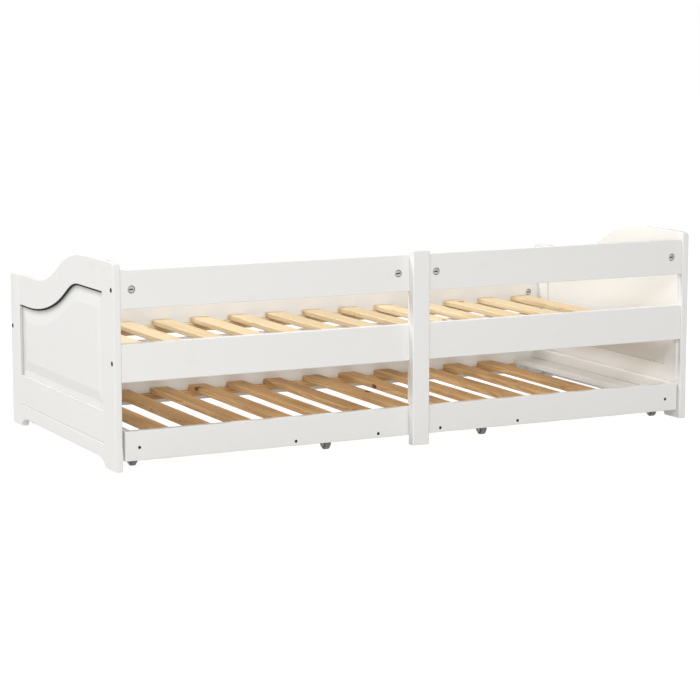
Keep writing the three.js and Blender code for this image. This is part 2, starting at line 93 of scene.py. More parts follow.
def add_camera():
    data = bpy.data.cameras.new("camera")
    data.lens = CAMERA_LENS
    data.sensor_width = CAMERA_SENSOR
    camera = bpy.data.objects.new("camera", data)
    camera.location = CAMERA_PLACE
    camera.rotation_euler = (CAMERA_TILT, 0, CAMERA_TURN)
    bpy.context.scene.collection.objects.link(camera)
    bpy.context.scene.camera = camera


def add_softbox(name, place, wide, tall, watts, target=BED_MIDDLE):
    """A soft lamp that looks at a target; the camera does not see it."""
    data = bpy.data.lights.new(name, "AREA")
    data.shape = "RECTANGLE"
    data.size = wide
    data.size_y = tall
    data.energy = watts
    lamp = bpy.data.objects.new(name, data)
    lamp.location = place
    lamp.rotation_euler = (target - Vector(place)).to_track_quat("-Z", "Y").to_euler()
    lamp.visible_camera = False
    bpy.context.scene.collection.objects.link(lamp)


def add_sky():
    """A dim, even dome of light that looks white behind the floor."""
    world = bpy.data.worlds.new("studio")
    world.use_nodes = True
    tree = world.node_tree
    sky = tree.nodes["Background"]
    sky.inputs["Color"].default_value = (1, 1, 1, 1)
    rays = tree.nodes.new("ShaderNodeLightPath")
    strength = tree.nodes.new("ShaderNodeMath")
    strength.operation = "MULTIPLY_ADD"
    tree.links.new(rays.outputs["Is Camera Ray"], strength.inputs[0])
    strength.inputs[1].default_value = 1 - SKY_STRENGTH
    strength.inputs[2].default_value = SKY_STRENGTH
    tree.links.new(strength.outputs[0], sky.inputs["Strength"])
    bpy.context.scene.world = world
    bpy.context.scene.view_settings.view_transform = "Standard"


# ---- shader arithmetic ----------------------------------------------------------------------


class Shade:
    """A shader socket that Python arithmetic works on: each step adds its Math node."""

    def __init__(self, finish, socket):
        self.finish = finish
        self.socket = socket

    def _math(self, operation, *values):
        return self.finish.node("Math", {"operation": operation}, dict(enumerate(values)))

    def __add__(self, other):
        return self._math("ADD", self, other)

    def __sub__(self, other):
        return self._math("SUBTRACT", self, other)

    def __rsub__(self, other):
        return self._math("SUBTRACT", other, self)

    def __mul__(self, other):
        return self._math("MULTIPLY", self, other)

    def __pow__(self, other):
        return self._math("POWER", self, other)

    __radd__ = __add__
    __rmul__ = __mul__

    def fraction(self):
        return self._math("FRACT", self)

    def step(self, low, high):
        """0 at low and 1 at high, with a soft step between; low may be the larger."""
        settings = {"interpolation_type": "SMOOTHSTEP"}
        values = {"Value": self, "From Min": low, "From Max": high}
        return self.finish.node("MapRange", settings, values)


class Finish:
    """A material under construction."""

    def __init__(self, name):
        self.material = bpy.data.materials.new(name)
        self.material.use_nodes = True
        self.tree = self.material.node_tree
        self.tree.nodes.clear()

    def node(self, kind, settings, values, output=0):
        """Adds a node. The settings are set first, then the values or links of its sockets."""
        node = self.tree.nodes.new("ShaderNode" + kind)
        for key, value in settings.items():
            if key == "stops":
                self._set_stops(node.color_ramp, value)
            else:
                setattr(node, key, value)
        for key, value in values.items():
            if isinstance(value, Shade):
                self.tree.links.new(value.socket, node.inputs[key])
            else:
                node.inputs[key].default_value = value
        return Shade(self, node.outputs[output]) if len(node.outputs) else None

    def _set_stops(self, ramp, stops):
        while len(ramp.elements) < len(stops):
            ramp.elements.new(1)
        for element, (place, colour) in zip(ramp.elements, stops):
            element.position = place
            element.color = (*colour, 1)

    def attribute(self, name, output="Fac"):
        return self.node("Attribute", {"attribute_name": name}, {}, output)

    def stretched(self, vector, scale):
        return self.node("VectorMath", {"operation": "MULTIPLY"}, {0: vector, 1: scale})

    def noise(self, vector, scale, detail=2, roughness=0.5):
        """Cloudy noise. scale is a number, or three that stretch it along its axes."""
        if isinstance(scale, tuple):
            vector, scale = self.stretched(vector, scale), 1
        values = {"Vector": vector, "Scale": scale, "Detail": detail, "Roughness": roughness}
        return self.node("TexNoise", {}, values)

    def mix(self, mask, a, b, blend="MIX"):
        """Colour a where the mask is 0, and b where it is 1."""
        a, b = (c if isinstance(c, Shade) else (*c, 1) for c in (a, b))
        settings = {"data_type": "RGBA", "blend_type": blend}
        return self.node("Mix", settings, {0: mask, 6: a, 7: b}, 2)

    def ramp(self, value, stops):
        return self.node("ValToRGB", {"stops": stops}, {0: value})

    def parts(self, vector):
        return [self.node("SeparateXYZ", {}, {0: vector}, axis) for axis in range(3)]

    def bump(self, height, strength, distance):
        values = {"Strength": strength, "Distance": distance, "Height": height}
        return self.node("Bump", {}, values)

    def surface(self, values):
        """Ends the material with one Principled shader."""
        shader = self.node("BsdfPrincipled", {}, values)
        self.node("OutputMaterial", {}, {"Surface": shader})
        return self.material


# ---- timber ---------------------------------------------------------------------------------
#
# Every board carries these attributes:
#   timber  its own coordinates: the first along the grain, and the log's heart where both
#           others are zero
#   tone    one number for the board, from 0 to 1
#   wear    1 along its edges, 0 on its faces
#   cut     1 on end grain
#   reveal  how dark the painted shade on the deep edges around an end's panel is, 0 elsewhere

RING_SPACING = 4.2 * MM
KNOT_SCALE = (8.0, 15.0, 15.0)


def growth(finish, timber):
    """The log's rings and knots: (latewood mask, knot core mask, knot halo mask)."""
    cells = finish.stretched(timber, KNOT_SCALE)
    voronoi = {"voronoi_dimensions": "3D", "feature": "F1"}
    distance = finish.node("TexVoronoi", voronoi, {"Vector": cells, "Scale": 1.0}, "Distance")
    draw = finish.node("TexVoronoi", voronoi, {"Vector": cells, "Scale": 1.0}, "Color")
    chosen = finish.parts(draw)[0].step(0.60, 0.62)
    halo = distance.step(0.42, 0.10) * chosen
    core = distance.step(0.17, 0.12) * chosen
    _, y, z = finish.parts(timber)
    heart = (y * y + z * z) ** 0.5
    drift = finish.noise(timber, (1.6, 9.0, 9.0), detail=3)
    waver = finish.noise(timber, (6.0, 60.0, 60.0), detail=2)
    rings = heart * (1 / RING_SPACING) + drift * 7.0 + waver * 0.5 + halo * 2.2
    phase = rings.fraction()
    late = phase.step(0.25, 0.9) * phase.step(1.0, 0.93)
    return late, core, halo


def natural_pine(name, early, late, knot, side):
    """Planed pine under thin lacquer. side is the darker tone of its sawn ends and of some cloudy
    patches.
    """
    finish = Finish(name)
    timber = finish.attribute("timber", "Vector")
    tone = finish.attribute("tone")
    rings, core, halo = growth(finish, timber)
    fibre = finish.noise(timber, (16.0, 900.0, 900.0), detail=3, roughness=0.6)
    streak = finish.noise(timber, (2.2, 55.0, 55.0), detail=3)
    blush = finish.noise(timber, (3.0, 14.0, 14.0), detail=2)
    wood = finish.mix(rings * 0.72, early, late)
    wood = finish.mix(streak.step(0.45, 0.70) * 0.55, wood, late)
    wood = finish.mix(blush.step(0.5, 0.8) * tone, wood, side)
    stops = [(0.25, (0.80, 0.77, 0.72)), (0.75, (1.0, 1.0, 1.0))]
    shade = finish.ramp(fibre * 0.55 + tone * 0.45, stops)
    wood = finish.mix(1.0, wood, shade, "MULTIPLY")
    wood = finish.mix(halo * 0.55, wood, late)
    wood = finish.mix(core, wood, knot)
    cut = finish.attribute("cut")
    wood = finish.mix(cut * 0.65, wood, side)
    worn = finish.attribute("wear")
    rubbed = worn * finish.noise(timber, (20.0, 90.0, 90.0)).step(0.35, 0.65)
    wood = finish.mix(rubbed * 0.45, wood, early)
    relief = fibre * 0.5 - rings * 0.35 - core * 0.5
    return finish.surface({
        "Base Color": wood,
        "Roughness": 0.58 - rings * 0.10 + fibre * 0.12 - rubbed * 0.08,
        "Normal": finish.bump(relief, 0.35, 0.25 * MM),
        "Specular IOR Level": 0.35,
    })


def white_paint():
    """Satin white paint that lets the grain and the knots below it show a little, with painted
    shade on the deep edges around the end panels.
    """
    finish = Finish("white_paint")
    timber = finish.attribute("timber", "Vector")
    tone = finish.attribute("tone")
    rings, core, halo = growth(finish, timber)
    fibre = finish.noise(timber, (14.0, 700.0, 700.0), detail=2)
    stipple = finish.noise(timber, 420.0, detail=2)
    cloud = finish.noise(timber, (2.0, 7.0, 7.0), detail=3)
    paint = finish.mix(cloud * 0.6 + tone * 0.4, (0.772, 0.768, 0.748), (0.804, 0.797, 0.779))
    paint = finish.mix(rings * 0.10, paint, (0.735, 0.725, 0.695))
    paint = finish.mix(core * 0.22 + halo * 0.06, paint, (0.755, 0.725, 0.655))
    thin = finish.noise(timber, (35.0, 160.0, 160.0), detail=4, roughness=0.65).step(0.52, 0.72)
    edge = finish.attribute("wear")
    paint = finish.mix(edge * 0.30, paint, (0.86, 0.85, 0.83))
    paint = finish.mix(edge * edge * thin * 0.25, paint, (0.70, 0.62, 0.49))
    # Painted shade: the deep edges around each end's panel are painted near black, where shade
    # falls in them.
    reveal = finish.attribute("reveal")
    paint = finish.mix(reveal * (0.90 + fibre * 0.10), paint, (0.060, 0.058, 0.055))
    relief = fibre * 0.35 + stipple * 0.25 - rings * 0.22 - core * 0.30
    return finish.surface({
        "Base Color": paint,
        "Roughness": 0.42 + cloud * 0.10 + stipple * 0.06 - edge * 0.06,
        "Normal": finish.bump(relief, 0.22, 0.20 * MM),
        "Specular IOR Level": 0.40,
    })


# ---- plastic and metal ----------------------------------------------------------------------


def moulded_plastic(name, dark, pale, dusty, gloss=0.45):
    """Spark-textured plastic. dusty is how much pale dust clings to it near the floor."""
    finish = Finish(name)
    place = finish.node("TexCoord", {}, {}, "Object")
    grit = finish.noise(place, 1500.0, detail=2)
    flow = finish.noise(place, (25.0, 60.0, 60.0), detail=3)
    plastic = finish.mix(flow, dark, pale)
    height = finish.parts(place)[2]
    dust = height.step(14 * MM, 0.0) * finish.noise(place, 240.0, detail=4).step(0.35, 0.7)
    plastic = finish.mix(dust * dusty, plastic, (0.52, 0.50, 0.46))
    plastic = finish.mix(finish.attribute("wear") * 0.5, plastic, pale)
    return finish.surface({
        "Base Color": plastic,
        "Roughness": 0.48 + grit * 0.14 + dust * 0.2,
        "Normal": finish.bump(grit, 0.30, 0.06 * MM),
        "Specular IOR Level": gloss,
    })


def plated_steel(name, bright, dull, rough, metallic=0.92):
    """Zinc plating with fine scratches and duller patches."""
    finish = Finish(name)
    place = finish.node("TexCoord", {}, {}, "Object")
    patch = finish.noise(place, 260.0, detail=3).step(0.35, 0.7)
    scratch = finish.noise(place, (300.0, 300.0, 4000.0), detail=2)
    metal = finish.mix(patch, bright, dull)
    metal = finish.mix(finish.attribute("wear") * 0.6, metal, bright)
    return finish.surface({
        "Base Color": metal,
        "Metallic": metallic,
        "Roughness": rough + patch * 0.16 + scratch * 0.10,
        "Normal": finish.bump(scratch, 0.20, 0.05 * MM),
    })


def floor_finish():
    finish = Finish("studio_floor")
    place = finish.node("TexCoord", {}, {}, "Object")
    soft = finish.noise(place, 0.8, detail=2)
    pale = finish.mix(soft, (0.28, 0.28, 0.28), (0.30, 0.30, 0.30))
    seen = finish.node("LightPath", {}, {}, "Is Camera Ray")
    return finish.surface({
        "Base Color": pale,
        "Roughness": 0.9,
        "Specular IOR Level": 0.0,
        "Emission Color": finish.mix(seen, (FLOOR_LIGHT,) * 3, (1.0, 1.0, 1.0)),
        "Emission Strength": FLOOR_GLOW,
    })


# ---- making pieces --------------------------------------------------------------------------

ALONG_Y, ALONG_Z = 1, 2
TIMBER_SMOOTH = 40              # degrees; sharper creases stay sharp
FITTING_SMOOTH = 30
LOG_ALONG = (0, 9)              # where in its log a board starts
LOG_ACROSS = (-0.05, 0.05)
LOG_THROUGH = (0.03, 0.09)
GRAIN_LEAN = 0.018


def is_axis_aligned(normal):
    return max(abs(value) for value in normal) > 0.995


def store(mesh, name, kind, domain, values):
    attribute = mesh.attributes.new(name, kind, domain)
    key = "vector" if kind == "FLOAT_VECTOR" else "value"
    attribute.data.foreach_set(key, values)


def mark_timber(mesh, grain, flat=is_axis_aligned, reveal=None):
    """Gives a board its timber attributes; grain is the axis along the grain."""
    corners = [vertex.co for vertex in mesh.vertices]
    middle = sum(corners, Vector()) / len(corners)
    order = [grain, (grain + 1) % 3, (grain + 2) % 3]
    start = Vector([chance.uniform(*span) for span in (LOG_ALONG, LOG_ACROSS, LOG_THROUGH)])
    lean = chance.uniform(-GRAIN_LEAN, GRAIN_LEAN)
    timber = []
    for corner in corners:
        along, across, through = ((corner - middle)[axis] for axis in order)
        timber += [start[0] + along, start[1] + across, start[2] + through + along * lean]
    store(mesh, "timber", "FLOAT_VECTOR", "POINT", timber)
    store(mesh, "tone", "FLOAT", "POINT", [chance.random()] * len(corners))
    beside_flat = set()
    for face in mesh.polygons:
        if flat(face.normal):
            beside_flat.update(face.vertices)
    wear = [0.0 if vertex.index in beside_flat else 1.0 for vertex in mesh.vertices]
    store(mesh, "wear", "FLOAT", "POINT", wear)
    cut = [1.0 if abs(face.normal[grain]) > 0.9 else 0.0 for face in mesh.polygons]
    store(mesh, "cut", "FLOAT", "FACE", cut)
    # Painted shade on the deep edges around an end's panel, 0 on other faces.
    shaded = [reveal(face) if reveal else 0.0 for face in mesh.polygons]
    store(mesh, "reveal", "FLOAT", "FACE", shaded)


def mark_unworn(mesh):
    """Gives a fitting the wear attribute that its material reads, with no wear anywhere."""
    store(mesh, "wear", "FLOAT", "POINT", [0.0] * len(mesh.vertices))


def finish_piece(shape, name, material, body, slot, smooth):
    """Turns a bmesh into a piece of the object."""
    mesh = bpy.data.meshes.new(name)
    shape.to_mesh(mesh)
    shape.free()
    mesh.materials.append(material)
    mesh.shade_smooth()
    mesh.set_sharp_from_angle(angle=math.radians(smooth))
    piece = bpy.data.objects.new(name, mesh)
    bpy.context.scene.collection.objects.link(piece)
    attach(piece, body)
    return piece


def add_fitting(shape, name, material, body, slot):
    """A small piece of metal or plastic."""
    piece = finish_piece(shape, name, material, body, slot, FITTING_SMOOTH)
    mark_unworn(piece.data)


def stand_for(node, shape, material, suffix="timber", smooth=TIMBER_SMOOTH):
    """Makes the piece that shows in place of a CAD node."""
    name = f"{node}_{suffix}"
    piece = finish_piece(shape, name, material, BODY_OF[node], SLOT_OF[node], smooth)
    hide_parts(node)
    return piece


def even_shading(piece):
    """Keeps broad faces flat where they run into rounded edges."""
    modifier = piece.modifiers.new("even_shading", "WEIGHTED_NORMAL")
    modifier.keep_sharp = True


def ease(shape, edges, width, segments):
    bmesh.ops.bevel(
        shape,
        geom=edges,
        offset=width,
        offset_type="OFFSET",
        affect="EDGES",
        segments=segments,
        profile=0.5,
        material=-1,
    )


def sharp_edges(shape, wanted=lambda edge: True):
    """The outward edges of a shape that are sharp, and wanted."""
    found = []
    for edge in shape.edges:
        if len(edge.link_faces) == 2 and edge.is_convex and edge.calc_face_angle() > SHARP_EDGE:
            if wanted(edge):
                found.append(edge)
    return found


def middle_of(edge):
    return (edge.verts[0].co + edge.verts[1].co) / 2


def centre_of(box):
    return (box[0] + box[1]) / 2


def longest_axis(low, high):
    size = high - low
    return max(range(3), key=lambda axis: size[axis])


def box_shape(low, high):
    shape = bmesh.new()
    place = Matrix.Translation((low + high) / 2) @ Matrix.Diagonal((*(high - low), 1))
    bmesh.ops.create_cube(shape, size=1, matrix=place)
    return shape


def join_rings(shape, near, far):
    """A band of faces between two rings that have as many vertices."""
    for i in range(len(near)):
        j = (i + 1) % len(near)
        shape.faces.new((near[i], near[j], far[j], far[i]))


def merged_copy(node):
    """A copy of a CAD node's mesh, with its triangles joined into whole faces."""
    shape = bmesh.new()
    shape.from_mesh(frame["nodes"][node].data)
    bmesh.ops.remove_doubles(shape, verts=shape.verts, dist=0.01 * MM)
    bmesh.ops.dissolve_limit(shape, angle_limit=FLAT_FACE, verts=shape.verts, edges=shape.edges)
    return shape


# ---- boards ---------------------------------------------------------------------------------

BOARD_ROUND = 3 * MM
CUT_ROUND = 1.2 * MM


def add_timber(node, shape, material):
    """Shows a shape in the place of a CAD board, with the grain along the board."""
    piece = stand_for(node, shape, material)
    mark_timber(piece.data, longest_axis(*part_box(node)))
    even_shading(piece)


def add_board(node, material):
    """A planed board with rounded edges."""
    shape = box_shape(*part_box(node))
    ease(shape, shape.edges[:], BOARD_ROUND, 3)
    add_timber(node, shape, material)


def add_drilled_board(node, material):
    """A CAD board with holes or notches, whose cut edges are eased."""
    shape = merged_copy(node)
    ease(shape, sharp_edges(shape), CUT_ROUND, 2)
    add_timber(node, shape, material)


# ---- rails and bolts that other pieces are placed by ----------------------------------------

UPPER_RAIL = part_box("upper_left_rail")
LOWER_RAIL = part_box("lower_left_rail")
FRONT_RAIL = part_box("front_rail")

BOLT_PLACES = [
    Vector((side * CAD_BOX[1].x, centre_of(rail).y, centre_of(rail).z))
    for side in (-1, 1)
    for rail in (UPPER_RAIL, LOWER_RAIL, FRONT_RAIL)
]

# ---- the ends -------------------------------------------------------------------------------

END_ROUND = 3.5 * MM
JOINT_NEAR = 0.5 * MM
BOLT_CLEAR = 12 * MM            # edges closer to a bolt's axis belong to its hole
PANEL_SMOOTH = 3                # degrees
REVEAL_REACH = 8 * MM           # how far in from the panel's face a deep edge may lie
REVEAL_LEAST = 20e-6            # square metres; smaller faces belong to rounded edges
# How dark the painted shade is on each member's deep edges around the panel.
REVEAL_SHADE = {"top_rail": 1.0, "back_stile": 0.25, "front_stile": 0.30, "bottom_rail": 0.0}
# Size of the near-black strip of painted shadow under the wavy edge above each panel.
SHADOW_LINE_DEEP = 0.4 * MM
SHADOW_LINE_PROUD = 0.2 * MM
SHADOW_LINE_TALL = 6 * MM


def end_span(side):
    """Lowest and highest corner of one whole end."""
    boxes = [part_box(f"{side}_end_{member}") for member in REVEAL_SHADE]
    low = Vector(min(b[0][axis] for b in boxes) for axis in range(3))
    high = Vector(max(b[1][axis] for b in boxes) for axis in range(3))
    return low, high


def near_any(value, places):
    return any(abs(value - place) < JOINT_NEAR for place in places)


def is_narrow(normal):
    """Whether a face of an end is one of its narrow ones, square to its broad sides."""
    return abs(normal.x) < 0.05


def is_end_flat(normal):
    return is_axis_aligned(normal) or is_narrow(normal)


def faces_out(edge, middle):
    """Whether the narrow face beside an edge looks away from the middle of its end."""
    for face in edge.link_faces:
        if abs(face.normal.x) < 0.5:
            return (middle_of(edge) - middle).dot(face.normal) > 0
    return False


def add_end_member(side, member, material):
    """A stile or rail of an end: well rounded along the end's outline, crisp around the panel."""
    node = f"{side}_end_{member}"
    low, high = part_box(node)
    middle = centre_of(end_span(side))
    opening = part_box(f"{side}_end_panel")
    back_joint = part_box(f"{side}_end_back_stile")[0].y
    front_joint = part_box(f"{side}_end_front_stile")[1].y
    bolts = [place for place in BOLT_PLACES if place.x * middle.x > 0]

    def on_broad_side(edge):
        at = middle_of(edge)
        on_joint = near_any(at.y, (back_joint, front_joint))
        return near_any(at.x, (low.x, high.x)) and not on_joint

    def on_bolt(edge):
        return any((middle_of(edge) - bolt).yz.length < BOLT_CLEAR for bolt in bolts)

    def in_opening(edge):
        at = middle_of(edge)
        inside_y = opening[0].y - JOINT_NEAR < at.y < opening[1].y + JOINT_NEAR
        inside_z = opening[0].z - JOINT_NEAR < at.z < opening[1].z + JOINT_NEAR
        return inside_y and inside_z

    def on_outline(edge):
        if on_bolt(edge) or in_opening(edge):
            return False
        return on_broad_side(edge) and faces_out(edge, middle)

    shape = merged_copy(node)
    ease(shape, sharp_edges(shape, on_outline), END_ROUND, 3)
    ease(shape, sharp_edges(shape, on_broad_side), CUT_ROUND / 2, 1)
    piece = stand_for(node, shape, material)

    outward = 1 if middle.x > 0 else -1
    panel_out = max(abs(opening[0].x), abs(opening[1].x))

    def reveal(face):
        """How much painted shade a face gets, as a deep edge around the panel on the outside of
        the end.
        """
        outer = face.center.x * outward > panel_out - REVEAL_REACH
        inwards = (middle - face.center).dot(face.normal) > 0
        beside_panel = opening[0].z < face.center.z < opening[1].z
        large = face.area > REVEAL_LEAST
        deep_edge = is_narrow(face.normal) and outer and inwards and beside_panel and large
        return REVEAL_SHADE[member] if deep_edge else 0.0

    grain = ALONG_Z if "stile" in member else ALONG_Y
    mark_timber(piece.data, grain, is_end_flat, reveal)
    even_shading(piece)


def add_end_panel(side, material):
    node = f"{side}_end_panel"
    piece = stand_for(node, merged_copy(node), material, smooth=PANEL_SMOOTH)
    mark_timber(piece.data, ALONG_Z, lambda normal: True)


def add_panel_shadow_line(side, material):
    """A thin near-black strip of painted shadow under the wavy edge above a panel, on the
    outside.
    """
    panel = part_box(f"{side}_end_panel")
    outward = 1 if panel[0].x > 0 else -1
    face_x = max(abs(panel[0].x), abs(panel[1].x)) * outward
    rail = merged_copy(f"{side}_end_top_rail")
    edge = set()
    for face in rail.faces:
        outside = (face.calc_center_median().x - face_x) * outward > 0
        if outside and is_narrow(face.normal) and face.normal.z < -0.05:
            edge.update((round(v.co.y, 5), round(v.co.z, 5)) for v in face.verts)
    rail.free()
    near, far = face_x - outward * SHADOW_LINE_DEEP, face_x + outward * SHADOW_LINE_PROUD
    shape = bmesh.new()
    rings = []
    for y, z in sorted(edge):
        corners = ((near, z), (far, z), (far, z - SHADOW_LINE_TALL), (near, z - SHADOW_LINE_TALL))
        rings.append([shape.verts.new((x, y, height)) for x, height in corners])
    for before, after in zip(rings, rings[1:]):
        join_rings(shape, before, after)
    shape.faces.new(rings[0])
    shape.faces.new(rings[-1])
    bmesh.ops.recalc_face_normals(shape, faces=shape.faces)
    add_fitting(shape, f"{side}_panel_shadow_line", material, "bed_frame", "grey_plastic")


# ---- shapes of bolts and nuts, made looking up +Z -------------------------------------------

ROUND_STEPS = 40
HEAD_STEPS = 24
HEAD_ROUND = 0.6 * MM


def turned(shape, place, outward, spin=0.0):
    """Turns a shape that looks up +Z so that it looks along outward, at a place."""
    turn = Vector((0, 0, 1)).rotation_difference(Vector(outward)).to_matrix().to_4x4()
    matrix = Matrix.Translation(place) @ turn @ Matrix.Rotation(spin, 4, "Z")
    bmesh.ops.transform(shape, matrix=matrix, verts=shape.verts)


def disc(radius, top, tall):
    """A round plate whose upper face is at height top."""
    shape = bmesh.new()
    bmesh.ops.create_cone(
        shape,
        cap_ends=True,
        segments=ROUND_STEPS,
        radius1=radius,
        radius2=radius,
        depth=tall,
        matrix=Matrix.Translation((0, 0, top - tall / 2)),
    )
    return shape


def socket_head(radius, tall, hexagon, deep):
    """A round bolt head with a hexagon socket in its top, which is at height 0."""
    shape = bmesh.new()
    loops = []
    for steps, reach in ((HEAD_STEPS, radius), (6, hexagon)):
        ring = bmesh.ops.create_circle(shape, segments=steps, radius=reach)["verts"]
        loops.append(list(dict.fromkeys(edge for vertex in ring for edge in vertex.link_edges)))
    rim_edges, hole_edges = loops
    bmesh.ops.bridge_loops(shape, edges=rim_edges + hole_edges)
    for loop, depth in ((hole_edges, deep), (rim_edges, tall)):
        skirt = bmesh.ops.extrude_edge_only(shape, edges=loop)["geom"]
        low = [item for item in skirt if isinstance(item, bmesh.types.BMVert)]
        bmesh.ops.translate(shape, vec=(0, 0, -depth), verts=low)
        low_edges = [item for item in skirt if isinstance(item, bmesh.types.BMEdge)]
        bottom = [edge for edge in low_edges if all(vertex in low for vertex in edge.verts)]
        bmesh.ops.contextual_create(shape, geom=bottom)
    bmesh.ops.recalc_face_normals(shape, faces=shape.faces)

    def on_crown(edge):
        at = middle_of(edge)
        return at.xy.length > hexagon * 1.1 and at.z > -MM

    ease(shape, sharp_edges(shape, on_crown), HEAD_ROUND, 2)
    return shape


def top_faces(shape):
    return [face for face in shape.faces if face.normal.z > 0.9]


def slotted_barrel(radius, tall, slot, deep):
    """The end of a barrel nut: a cylinder with a screwdriver slot in its top, at height 0."""
    shape = disc(radius, 0, tall)
    for normal, half in (((1, 0, 0), slot[0] / 2), ((0, 1, 0), slot[1] / 2)):
        for sign in (-1, 1):
            top = top_faces(shape)
            edges = dict.fromkeys(edge for face in top for edge in face.edges)
            verts = dict.fromkeys(vertex for face in top for vertex in face.verts)
            bmesh.ops.bisect_plane(
                shape,
                geom=[*top, *edges, *verts],
                plane_co=Vector(normal) * half * sign,
                plane_no=normal,
            )
    floor = [face for face in top_faces(shape) if face.calc_center_median().xy.length < MM]
    sunk = bmesh.ops.extrude_face_region(shape, geom=floor)["geom"]
    bmesh.ops.delete(shape, geom=floor, context="FACES")
    moved = [item for item in sunk if isinstance(item, bmesh.types.BMVert)]
    bmesh.ops.translate(shape, vec=(0, 0, -deep), verts=moved)
    bmesh.ops.recalc_face_normals(shape, faces=shape.faces)
    return shape


# ---- bolts of the ends ----------------------------------------------------------------------

BOLT_HEAD = 5.8 * MM
BOLT_HEAD_TALL = 4.5 * MM
BOLT_PROUD = 0.8 * MM
BOLT_FLANGE = 7.4 * MM
BOLT_FLANGE_TALL = 0.35 * MM
HEX_SOCKET = 2.6 * MM
HEX_DEEP = 2.4 * MM


def add_end_bolts(material):
    """A socket head with a thin flange under it, wherever a bolt goes through an end."""
    for number, place in enumerate(BOLT_PLACES, 1):
        outward = (math.copysign(1, place.x), 0, 0)
        spin = chance.uniform(0, 1)
        head = socket_head(BOLT_HEAD, BOLT_HEAD_TALL, HEX_SOCKET, HEX_DEEP)
        bmesh.ops.translate(head, vec=(0, 0, BOLT_PROUD), verts=head.verts)
        flange = disc(BOLT_FLANGE, BOLT_FLANGE_TALL, BOLT_FLANGE_TALL)
        for label, shape in (("end_bolt", head), ("bolt_flange", flange)):
            turned(shape, place, outward, spin)
            add_fitting(shape, f"{label}_{number}", material, "bed_frame", "zinc_steel")


# ---- barrel nuts ----------------------------------------------------------------------------

NUT_INSET = 38 * MM             # from an end or the post to the middle of a nut
NUT_RADIUS = 9.6 * MM
NUT_TALL = 10 * MM
NUT_SUNK = 3.2 * MM
NUT_SPIN = 0.2                  # radians, either way
NUT_SLOT = (13 * MM, 4.2 * MM)
NUT_SLOT_DEEP = 3.0 * MM
# The slot's floor and the hole's bottom under each nut are near-black pieces of painted shadow.
SLOT_FIT = 0.98                 # the dark floor's size against the slot's
SLOT_FLOOR_SUNK = 0.8 * MM
NUT_WELL = 11.7 * MM
NUT_WELL_TALL = 1 * MM
NUT_WELL_SUNK = 2.2 * MM        # below the face of the nut


def nut_places():
    """A point on the rail's face over each nut, and which way along Y the face looks."""
    end_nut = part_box("right_end_back_stile")[0].x - NUT_INSET
    post_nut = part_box("centre_post")[1].x + NUT_INSET
    rows = (
        (UPPER_RAIL, 1, (end_nut, post_nut)),
        (LOWER_RAIL, -1, (end_nut, post_nut)),
        (FRONT_RAIL, 1, (end_nut,)),
    )
    places = []
    for rail, outward, reaches in rows:
        face_y = rail[1].y if outward > 0 else rail[0].y
        for side in (-1, 1):
            for reach in reaches:
                places.append((Vector((side * reach, face_y, centre_of(rail).z)), outward))
    return places


def slot_shadow():
    """A near-black block of painted shadow at the bottom of a nut's slot."""
    low = Vector((-NUT_SLOT[0] / 2, -NUT_SLOT[1] / 2, -NUT_SLOT_DEEP)) * SLOT_FIT
    return box_shape(low, Vector((-low.x, -low.y, -SLOT_FLOOR_SUNK)))


def add_barrel_nuts(material, shadow):
    """A slotted nut in each round hole of the rails, over a near-black disc of painted shadow at
    the bottom of its hole, with another block of it in the slot.
    """
    for number, (on_face, outward) in enumerate(nut_places(), 1):
        place = on_face - Vector((0, outward * NUT_SUNK, 0))
        spin = chance.uniform(-NUT_SPIN, NUT_SPIN)
        nut = slotted_barrel(NUT_RADIUS, NUT_TALL, NUT_SLOT, NUT_SLOT_DEEP)
        well = disc(NUT_WELL, -NUT_WELL_SUNK, NUT_WELL_TALL)
        parts = (
            ("barrel_nut", nut, material),
            ("nut_well_shadow", well, shadow),
            ("nut_slot_shadow", slot_shadow(), shadow),
        )
        for label, shape, look in parts:
            turned(shape, place, (0, outward, 0), spin)
            add_fitting(shape, f"{label}_{number:02d}", look, "bed_frame", "zinc_steel")


# ---- bolts of the trundle -------------------------------------------------------------------

TRUNDLE_BOLT = 4.8 * MM
TRUNDLE_BOLT_SUNK = 1.2 * MM
TRUNDLE_SOCKET = 0.8 * HEX_SOCKET
CORNER_BOLT = (949 * MM, 69 * MM)       # out from the rail's middle, and height
BLOCK_BOLT = (144 * MM, 43 * MM)        # out from the block's middle, and height


def trundle_bolt_places():
    """X and Z of each bolt in the trundle's back rail."""
    rows = [("trundle_back_rail", CORNER_BOLT)]
    rows += [(f"trundle_{side}_caster_block", BLOCK_BOLT) for side in SIDES]
    places = []
    for node, (reach, z) in rows:
        middle = centre_of(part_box(node)).x
        places += [(middle - reach, z), (middle + reach, z)]
    return places


def add_trundle_bolts(material):
    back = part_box("trundle_back_rail")[1].y
    for number, (x, z) in enumerate(trundle_bolt_places(), 1):
        shape = socket_head(TRUNDLE_BOLT, BOLT_HEAD_TALL, TRUNDLE_SOCKET, HEX_DEEP)
        turned(shape, (x, back - TRUNDLE_BOLT_SUNK, z), (0, 1, 0), chance.uniform(0, 1))
        add_fitting(shape, f"trundle_bolt_{number}", material, "trundle", "zinc_steel")


# ---- casters --------------------------------------------------------------------------------

